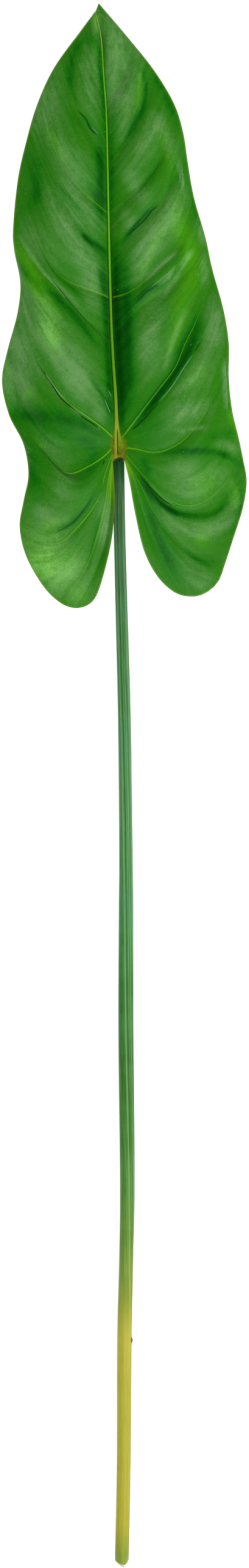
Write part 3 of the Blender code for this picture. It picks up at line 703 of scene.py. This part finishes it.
face, shader = new_material("upper_skin_with_painted_light")
tree = face.node_tree
along, across, side = (attribute(tree, name) for name in ("along", "across", "side"))
vein_way = place_of(tree, times(tree, along, 6.0), times(tree, across, 17.0), side)
streaks = noise(tree, 1.0, 3.0, vein_way, 0.6)
grain = noise(tree, 3000.0, 2.0)
mottle = noise(tree, 420.0, 4.0, None, 0.65)
ripple_way = place_of(tree, times(tree, along, 3.2), times(tree, across, 7.0), side)
ripples = noise(tree, 1.0, 2.0, ripple_way, 0.5)
uneven = plus(tree, ramp(tree, streaks, 0.3, 0.7, -0.09, 0.09), ramp(tree, mottle, 0.3, 0.7, -0.15, 0.15))
uneven = plus(tree, uneven, ramp(tree, ripples, 0.3, 0.7, -0.26, 0.26))
uneven = plus(tree, uneven, ramp(tree, grain, 0.3, 0.7, -0.10, 0.10))
# Painted sheen: a grey-green laid over the skin where the light's reflection would lie.
painted_sheen = times(tree, attribute(tree, "painted_sheen"), plus(tree, uneven, 1.0))
painted_sheen = plus(tree, painted_sheen, times(tree, uneven, 0.25))
# Painted shade: a saturated green, made darker still where the strokes are strongest.
painted_shade = attribute(tree, "painted_shade")
shade_uneven = plus(tree, painted_shade, times(tree, uneven, -0.35))
young = ramp(tree, attribute(tree, "young"), 0.0, 1.0)
skin = mix(tree, young, SKIN, FRESH)
skin = mix(tree, painted_sheen, skin, mix(tree, young, SHEEN_GREEN, FRESH_SHEEN_GREEN))
skin = mix(tree, times(tree, shade_uneven, 1.1), skin, SHADED_GREEN)
dark = ramp(tree, shade_uneven, 0.4, 1.4, 1.0, 0.2)
skin = shaded(tree, skin, dark)
reach = ramp(tree, side, -0.5, 0.5, 0.42, 0.20)
band = times(tree, ramp(tree, across, 1.2, 2.3, 1, 0),
             ramp(tree, math_of(tree, "DIVIDE", along, reach), 0.05, 1.0, 1, 0))
skin = mix(tree, times(tree, band, ramp(tree, streaks, 0.2, 0.8, 0.6, 1)), skin, colour(104, 158, 0))
vein_width = ramp(tree, along, 0.0, 0.2, 0.42, 0.24)
vein_line = ramp(tree, math_of(tree, "DIVIDE", attribute(tree, "vein_gap"), vein_width), 0.35, 1.3, 1, 0)
lime = mix(tree, ramp(tree, side, -0.5, 0.5), LIME, RIGHT_LIME)
lime = mix(tree, ramp(tree, along, 0.0, 0.16, 0.7, 0), lime, colour(104, 142, 10))
skin = mix(tree, times(tree, vein_line, attribute(tree, "vein_lime")), skin, lime)
# Creases drawn as painted shade lines.
fold_line = times(tree, line_at(tree, attribute(tree, "fold_gap"), 0.08, 0.34), attribute(tree, "fold_shade"))

# The midrib is yellow-green at the tip, bright green over most of its length and olive at the collar.
height = attribute(tree, "from_joint")
rib_green = layered(tree, colour(124, 144, 30),
                    (ramp(tree, height, 12.0, 40.0), colour(88, 142, 12)),
                    (ramp(tree, height, 60.0, 110.0), colour(82, 164, 12)),
                    (ramp(tree, height, 180.0, 200.0), colour(124, 168, 44)))
rib_shadow = times(tree, ramp(tree, along, 0.002, 0.011, 0.8, 0), ramp(tree, height, 12.0, 24.0))
skin = mix(tree, times(tree, rib_shadow, ramp(tree, height, 150.0, 200.0, 1, 0.3)), skin, CREASE_SHADE)
collar = times(tree, ramp(tree, height, 6.0, 15.0, 1, 0), ramp(tree, along, 0.002, 0.03, 1, 0))
olive = mix(tree, ramp(tree, mottle, 0.4, 0.6), OLIVE, colour(98, 122, 8))
glint = line_at(tree, attribute(tree, "glint_gap"), 0.05, 0.30, 0.8)
# Painted shadow beyond the lip in dark green, with a brown line along the lip that is partly its corky edge
# and partly painted shadow.
lip_gap, lip_shadow = attribute(tree, "lip_gap"), attribute(tree, "lip_shadow")
skin = layered(tree, skin,
               (ramp(tree, attribute(tree, "rib"), 0.15, 0.6), rib_green),
               (collar, olive),
               (attribute(tree, "pale_ridge"), PALE_OLIVE),
               (fold_line, mix(tree, collar, CREASE_SHADE, colour(38, 34, 8))),
               (times(tree, glint, attribute(tree, "glint_light")), colour(128, 160, 124)),
               (times(tree, ramp(tree, lip_gap, -0.3, 0.1, 1, 0), lip_shadow), colour(2, 48, 8)),
               (times(tree, line_at(tree, lip_gap, 0.1, 0.45), lip_shadow), colour(60, 36, 6)))

# Pale dust, brown freckles, and the dry line along the margin
margin_gap = attribute(tree, "margin_gap")
notch = times(tree, ramp(tree, across, 0.8, 1.2, 1, 0), ramp(tree, along, 0.6, 0.9, 1, 0))
dry = times(tree, ramp(tree, margin_gap, 0.12, 0.32, 0.7, 0), math_of(tree, "SUBTRACT", 1.0, notch))
skin = layered(tree, skin,
               (times(tree, specks(tree, 330.0, 0.07, 0.10), 0.7), colour(150, 185, 140)),
               (times(tree, specks(tree, 210.0, 0.05, 0.10), 0.7), colour(90, 80, 20)),
               (ramp(tree, margin_gap, 0.3, 0.8, 0.35, 0), colour(100, 158, 36)),
               (dry, BROWN))
skin = shaded(tree, skin, ramp(tree, grain, 0.3, 0.7, 0.84, 1.16))
tree.links.new(skin, shader.inputs["Base Color"])
shader.inputs["Roughness"].default_value = 0.42
shader.inputs["Specular IOR Level"].default_value = 0.08
relief = plus(tree, times(tree, grain, 0.02), times(tree, streaks, 0.05))
relief = math_of(tree, "SUBTRACT", relief, times(tree, fold_line, 0.25))
relieved(tree, shader, relief, 0.8, 1.0)

# The underside is paler and has no painted sheen. Its veins and midrib stand out as smooth lime cords.
back, back_shader = new_material("matt_underside")
tree = back.node_tree
along, across = attribute(tree, "along"), attribute(tree, "across")
vein_way = place_of(tree, times(tree, along, 9.0), times(tree, across, 22.0))
veinlets = noise(tree, 1.0, 4.0, vein_way, 0.6)
under = mix(tree, ramp(tree, veinlets, 0.35, 0.65), colour(92, 138, 66), colour(108, 152, 78))
under = mix(tree, ramp(tree, noise(tree, 1800.0, 3.0), 0.35, 0.65, 0, 0.35), under, colour(84, 126, 60))
cord = ramp(tree, attribute(tree, "vein_gap"), 0.3, 0.8, 1, 0)
cord = times(tree, cord, ramp(tree, along, 0.6, 1.0, 1, 0.2))
cord = math_of(tree, "MAXIMUM", cord, ramp(tree, attribute(tree, "rib"), 0.1, 0.5))
under = mix(tree, cord, under, colour(136, 170, 70))
tree.links.new(under, back_shader.inputs["Base Color"])
back_shader.inputs["Roughness"].default_value = 0.6
relieved(tree, back_shader, veinlets, 0.5, 0.15)

# The margin is dry and slightly brown, and its two corners are rounded off.
RIM_ROUNDING, RIM_CORNER = 0.07, math.radians(65)
rim, rim_shader = new_material("dry_margin")
rim_shader.inputs["Base Color"].default_value = colour(74, 90, 20)
rim_shader.inputs["Roughness"].default_value = 0.6
for material in (face, back, rim):
    blade.data.materials.append(material)
blade.data.shade_smooth()
rounding = blade.modifiers.new("rounded_rim", "BEVEL")
rounding.width = RIM_ROUNDING * MM
rounding.segments = 2
rounding.limit_method = "ANGLE"
rounding.angle_limit = RIM_CORNER
apply_modifiers(blade)
low = np.array([v.co for v in blade.data.vertices])
low[:, 2] = np.maximum(low[:, 2], 0)
blade.data.vertices.foreach_set("co", low.astype(np.float32).ravel())
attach(blade, "root")
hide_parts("blade")


# The stalk. It is a solid green rod, slightly fleshy, that carries one groove turning slowly round it and
# softer ribs beside that. It was torn off at its lower end, where a tooth of skin and pale pith are left.
# Points of its middle line: x, y, height and radius
STALK = (
    (-0.35, STALK_TOP_Y, 7.75, 2.75),
    (-0.1, -12.0, 7.7, 2.62),
    (0.2, -32.0, 7.6, 2.65),
    (1.1, -68.0, 7.3, 2.8),
    (2.4, -118.0, 6.8, 2.95),
    (3.1, -180.0, 6.1, 3.1),
    (3.1, -210.0, 5.8, 3.35),
    (3.0, -265.0, 5.2, 3.5),
    (3.6, -330.0, 4.6, 3.4),
    (3.2, -365.0, 4.2, 3.25),
    (2.4, -405.0, 3.8, 3.35),
    (2.1, -462.0, 3.3, 3.2),
    (1.25, -506.0, 2.9, 3.2),
)
STALK_SIDES, RING_GAP = 72, 2.5
RIBS, RIB_SHARE = 3, 0.03  # broad ribs, and their height as a share of the radius
# Grooves: degrees beside the main one, depth, half-width in mm, and where each begins and ends
GROOVES = (
    (0.0, 0.35, 0.50, 60.0, -900.0),
    (24.0, 0.10, 0.30, -30.0, -460.0),
    (43.0, 0.08, 0.25, -60.0, -480.0),
    (-34.0, 0.07, 0.35, 60.0, -180.0),
    (62.0, 0.16, 0.80, 60.0, -70.0),
)
GROOVE_FADE = 12  # how far each end of a groove takes to come in
# How the main groove turns round the stalk: distance from the joint, and degrees from the top
GROOVE_TURN = ((0.0, -30.0), (96.0, -24.0), (180.0, -5.0), (236.0, 10.0), (340.0, 34.0), (404.0, 67.0),
               (506.0, 76.0))
SCAR_Y, SCAR_LENGTH, SCAR_HEIGHT = -405.0, 1.4, 0.6
SCAR_TURN, SCAR_SPREAD = math.radians(80), math.radians(16)
SCAR_RINGS = np.array([-1.2, -0.7, 0.0, 0.7, 1.2])  # closer rings of points over the scar
# Torn end: distance from the middle towards +X, how far the skin reaches past the last ring, and the pith
CUT_REACH = (
    (-3.2, 1.1, 1.3), (-2.6, 1.3, 1.7), (-0.7, 1.9, 2.7), (0.4, 2.1, 3.2), (1.1, 2.2, 3.5),
    (1.3, 2.2, 2.6), (2.1, 1.9, 2.1), (2.7, 1.2, 1.4), (3.2, 0.7, 0.9),
)
CUT_UNDERSIDE_SHARE = 0.2  # how much of that reach is left on the underside
CUT_SHARES = (0.97, 0.93, 0.88, 0.78, 0.6, 0.4, 0.2, 0.0)  # rings of the torn face, as shares of the radius
TORN_SHARE, PITH_HOLLOW = 0.93, 1.2
TORN_EDGE = 0.135  # where the brown edge between skin and pith lies: 0 at the skin, 1 in the middle
TOP_SHARES = (0.0, 0.4, 0.8, 0.97)  # rings of the upper end, as shares of the radius
JOINT_OVERLAP = 0.4  # how far the stalk's upper end reaches to close the gap at the joint
MERGE_GAP = 0.004  # points closer than this are one, where the ring of points meets itself

path = smooth_path(STALK)
first, last = STALK[0][1], STALK[-1][1]
stations = np.linspace(first, last, round((first - last) / RING_GAP) + 1)
stations = np.sort(np.concatenate([stations, SCAR_Y + SCAR_RINGS]))[::-1]
middle_x, middle_z, radius = (np.interp(-stations, -path[:, 1], path[:, i])[:, None] for i in (0, 2, 3))
distances, turns = zip(*GROOVE_TURN)
groove = np.radians(np.interp(-stations, distances, turns))[:, None]
beside = np.linspace(-math.pi, math.pi, STALK_SIDES + 1)[None, :]
turn = groove + beside
groove_gap = radius * beside
wall = radius * (1 + RIB_SHARE * np.cos(RIBS * beside + math.pi))
for degrees, groove_depth, width, begins, ends in GROOVES:
    on_way = np.clip((begins - stations) / GROOVE_FADE, 0, 1) * np.clip((stations - ends) / GROOVE_FADE, 0, 1)
    gap = radius * (beside - math.radians(degrees))
    wall = wall - groove_depth * bell(gap, width) * on_way[:, None]
scar = bell(stations[:, None] - SCAR_Y, SCAR_LENGTH) * bell(turn - SCAR_TURN, SCAR_SPREAD)
wall = wall + SCAR_HEIGHT * scar
wall_x, wall_z = middle_x + wall * np.sin(turn), middle_z + wall * np.cos(turn)
rings = np.stack([wall_x, stations[:, None] + 0 * turn, wall_z], axis=-1)
upness = CUT_UNDERSIDE_SHARE + (1 - CUT_UNDERSIDE_SHARE) * (1 + np.cos(turn[-1])) / 2
offsets, skin_reach, pith_reach = zip(*CUT_REACH)
rings[-1, :, 1] -= np.interp(rings[-1, :, 0] - middle_x[-1], offsets, skin_reach) * upness
top_middle = rings[0].mean(axis=0)
top_face = [top_middle + (rings[0] - top_middle) * share for share in TOP_SHARES]
for ring in top_face:
    ring[:, 1] += JOINT_OVERLAP
end_face = []
for share in CUT_SHARES:
    ring = rings[-1].copy()
    ring[:, 0] = middle_x[-1] + (ring[:, 0] - middle_x[-1]) * share
    ring[:, 2] = middle_z[-1] + (ring[:, 2] - middle_z[-1]) * share
    own = [np.interp(ring[:, 0] - middle_x[-1], offsets, reach) for reach in (skin_reach, pith_reach)]
    skin_part = np.clip((share - TORN_SHARE) / (1 - TORN_SHARE), 0, 1)
    ring[:, 1] = last - (own[0] * skin_part + own[1] * (1 - skin_part)) * upness
    ring[:, 1] += PITH_HOLLOW * np.clip(1 - share / TORN_SHARE, 0, 1)
    end_face.append(ring)
grid = np.stack([*top_face, *rings, *end_face])
grid[..., 2] = np.maximum(grid[..., 2], 0)
cut = np.concatenate([np.zeros(len(top_face) + len(rings)), 1 - np.array(CUT_SHARES) ** 2])
extra = (len(top_face), len(CUT_SHARES))
fields = {
    "groove_gap": np.pad(groove_gap, (extra, (0, 0)), "edge"),
    "turn": np.pad(turn, (extra, (0, 0)), "edge"),
    "scar": np.pad(scar, (extra, (0, 0)), "edge"),
    "cut": np.repeat(cut[:, None], STALK_SIDES + 1, axis=1),
    "from_joint": grid[..., 1],
}
stalk, row, column = grid_piece("leaf_stalk", grid)
store(stalk, {name: values[row, column] for name, values in fields.items()})
bpy.ops.object.mode_set(mode="EDIT")
bpy.ops.mesh.select_all(action="SELECT")
bpy.ops.mesh.remove_doubles(threshold=MERGE_GAP * MM)
bpy.ops.mesh.normals_make_consistent(inside=False)
bpy.ops.object.mode_set(mode="OBJECT")

# Green stalk colours down from the joint: distance, darker green, and lighter green laid on as painted
# highlight
STALK_GREENS = (
    (-1.5, (2, 56, 8), (14, 80, 22)),
    (-16.0, (32, 82, 36), (84, 116, 82)),
    (-80.0, (40, 102, 40), (92, 138, 90)),
    (-200.0, (46, 112, 46), (98, 148, 94)),
    (-275.0, (36, 94, 22), (90, 142, 78)),
    (-335.0, (54, 112, 28), (106, 150, 78)),
    (-375.0, (94, 128, 34), (140, 158, 70)),
    (-404.0, (160, 156, 46), (182, 178, 72)),
    (-490.0, (156, 150, 38), (178, 170, 56)),
    (-504.0, (112, 132, 34), (142, 156, 62)),
)
# Painted highlights along the ridges and painted shade lines beside the groove: gap in mm, half-width,
# strength, where each begins and ends
HIGHLIGHT_BANDS = (
    (-0.95, 0.35, 0.9, -4.0, -420.0),
    (0.75, 0.30, 0.5, -4.0, -300.0),
    (1.75, 0.35, 0.6, -90.0, -520.0),
    (-2.4, 0.5, 0.5, -4.0, -190.0),
    (3.2, 0.6, 0.7, -4.0, -250.0),
)
SHADE_LINES = (
    (0.0, 0.13, 1.0, -40.0, -330.0),
    (1.25, 0.12, 0.5, -190.0, -400.0),
    (2.4, 0.14, 0.5, -60.0, -400.0),
    (-1.75, 0.12, 0.4, -4.0, -170.0),
    (1.9, 0.45, 0.4, -2.0, -90.0),
)


def line_mask(tree, gap, height, lines):
    """Soft lines that run along the stalk at their own distance from its groove."""
    total = None
    for place, width, strength, begins, ends in lines:
        line = line_at(tree, math_of(tree, "SUBTRACT", gap, place), width * 0.4, width * 1.4, strength)
        line = times(tree, line, ramp(tree, height, begins, begins - 20, 0, 1))
        line = times(tree, line, ramp(tree, height, ends + 40, ends, 1, 0))
        total = line if total is None else math_of(tree, "MAXIMUM", total, line)
    return total


rod, rod_shader = new_material("green_stalk")
tree = rod.node_tree
height, gap = attribute(tree, "from_joint"), attribute(tree, "groove_gap")
(_, dark_green, lit_green), *stops = STALK_GREENS
dark_green, lit_green = colour(*dark_green), colour(*lit_green)
above = STALK_GREENS[0][0]
for place, darker, lighter in stops:
    share = node(tree, "ShaderNodeMapRange", {0: height, 1: above, 2: place}).outputs[0]
    dark_green = mix(tree, share, dark_green, colour(*darker))
    lit_green = mix(tree, share, lit_green, colour(*lighter))
    above = place
fibre_way = place_of(tree, times(tree, gap, 1.6), times(tree, height, 0.04))
fibres = noise(tree, 1.0, 4.0, fibre_way, 0.65)
patches = noise(tree, 60.0, 3.0)
grain = noise(tree, 3000.0, 2.0)
# Painted highlight along the stalk's ridges, mixed with random paler fibres and patches.
highlight_and_fibres = plus(tree, line_mask(tree, gap, height, HIGHLIGHT_BANDS), ramp(tree, fibres, 0.3, 0.75, -0.1, 0.45))
highlight_and_fibres = plus(tree, highlight_and_fibres, ramp(tree, patches, 0.3, 0.7, -0.05, 0.2))
highlight_and_fibres = plus(tree, highlight_and_fibres, ramp(tree, grain, 0.3, 0.7, -0.06, 0.06))
highlight_and_fibres = math_of(tree, "MINIMUM", math_of(tree, "MAXIMUM", highlight_and_fibres, 0.0), 1.0)
bluish = times(tree, ramp(tree, patches, 0.5, 0.7, 0, 0.3), ramp(tree, height, -280.0, -230.0))
# Painted shade in and beside the grooves.
groove_shade = mix(tree, 0.75, dark_green, colour(44, 58, 24))
# Painted shade along the stalk's sides as seen from above, brownish lower down.
flank = math_of(tree, "ABSOLUTE", math_of(tree, "SINE", attribute(tree, "turn")))
flank_shade = mix(tree, ramp(tree, height, -400.0, -300.0), colour(96, 84, 40), colour(34, 66, 30))
own_place = node(tree, "ShaderNodeTexCoord").outputs["Object"]
long_way = node(tree, "ShaderNodeMapping", {0: own_place, 3: (1, 0.35, 1)}).outputs[0]
rod_skin = layered(tree, dark_green,
                   (highlight_and_fibres, lit_green),
                   (bluish, colour(44, 112, 76)),
                   (line_mask(tree, gap, height, SHADE_LINES), groove_shade),
                   (ramp(tree, flank, 0.93, 0.995, 0, 0.35), flank_shade),
                   (times(tree, specks(tree, 330.0, 0.09, 0.30, long_way), 0.7), colour(98, 92, 18)),
                   (times(tree, specks(tree, 420.0, 0.06, 0.05), 0.6), colour(200, 215, 185)),
                   (ramp(tree, attribute(tree, "scar"), 0.35, 0.6), colour(128, 62, 34)))
cut = attribute(tree, "cut")
pith_spots = ramp(tree, noise(tree, 2600.0, 3.0), 0.35, 0.65)
torn = mix(tree, pith_spots, colour(200, 196, 160), colour(168, 176, 138))
torn_edge = line_at(tree, math_of(tree, "SUBTRACT", cut, TORN_EDGE), 0.012, 0.035)
torn = mix(tree, torn_edge, torn, colour(160, 88, 30))
rod_skin = mix(tree, ramp(tree, cut, 0.002, 0.012), rod_skin, torn)
tree.links.new(rod_skin, rod_shader.inputs["Base Color"])
rod_shader.inputs["Roughness"].default_value = 0.45
rod_shader.inputs["Specular IOR Level"].default_value = 0.15
relieved(tree, rod_shader, plus(tree, fibres, times(tree, grain, 0.3)), 0.6, 0.08)
stalk.data.materials.append(rod)
stalk.data.shade_smooth()
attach(stalk, "root")
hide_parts("petiole")


# The leaf lies on plain white paper, which is no part of it. One wide soft light comes from beyond the cut
# end, and the camera looks straight down, as in the photograph.
PIXEL = 0.28  # size of one of the photograph's pixels on the leaf, in mm
FRAME_HEIGHT = 2576
VIEW_MIDDLE = (2.38, -148.68)  # point of the leaf at the middle of the view, from the joint
LENS, SENSOR = 100.0, 36.0
LEAF_HEIGHT = 8.0  # height at which a pixel has that size
PAPER_SIZE, PAPER_DROP, PAPER_GLOW = 60.0, 0.00005, 0.6  # in metres, and how bright it is by itself
LIGHT_SIDE, LIGHT_BACK = 0.30, -0.55  # how far the light leans towards +X and -Y for each metre of height
LIGHT_STRENGTH, LIGHT_SPREAD, ROOM_LIGHT = 3.6, math.radians(60), 0.3
NEAREST_SEEN, FURTHEST_SEEN = 0.01, 100

bpy.ops.mesh.primitive_plane_add(size=PAPER_SIZE, location=(0, 0, -PAPER_DROP))
paper = bpy.context.object
paper.name = "paper"
white, white_shader = new_material("white_paper")
white_shader.inputs["Base Color"].default_value = (0.9, 0.9, 0.9, 1)
white_shader.inputs["Roughness"].default_value = 0.9
white_shader.inputs["Specular IOR Level"].default_value = 0.0
white_shader.inputs["Emission Color"].default_value = (1, 1, 1, 1)
white_shader.inputs["Emission Strength"].default_value = PAPER_GLOW
paper.data.materials.append(white)

sun = bpy.data.objects.new("soft_light", bpy.data.lights.new("soft_light", "SUN"))
sun.data.energy = LIGHT_STRENGTH
sun.data.angle = LIGHT_SPREAD
sun.rotation_euler = (math.atan(-LIGHT_BACK), math.atan(LIGHT_SIDE), 0)
bpy.context.scene.collection.objects.link(sun)
world = bpy.data.worlds.new("studio")
world.use_nodes = True
room = world.node_tree.nodes["Background"]
room.inputs["Color"].default_value = (1, 1, 1, 1)
room.inputs["Strength"].default_value = ROOM_LIGHT
bpy.context.scene.world = world

camera = bpy.data.objects.new("camera", bpy.data.cameras.new("camera"))
camera.data.lens, camera.data.sensor_width = LENS, SENSOR
distance = FRAME_HEIGHT * PIXEL * LENS / SENSOR
camera.location = [(a + b) * MM for a, b in zip((*VIEW_MIDDLE, LEAF_HEIGHT + distance), joint)]
camera.data.clip_start, camera.data.clip_end = NEAREST_SEEN, FURTHEST_SEEN
bpy.context.scene.collection.objects.link(camera)
bpy.context.scene.camera = camera
bpy.context.scene.view_settings.view_transform = "Standard"
bpy.context.scene.view_settings.look = "None"
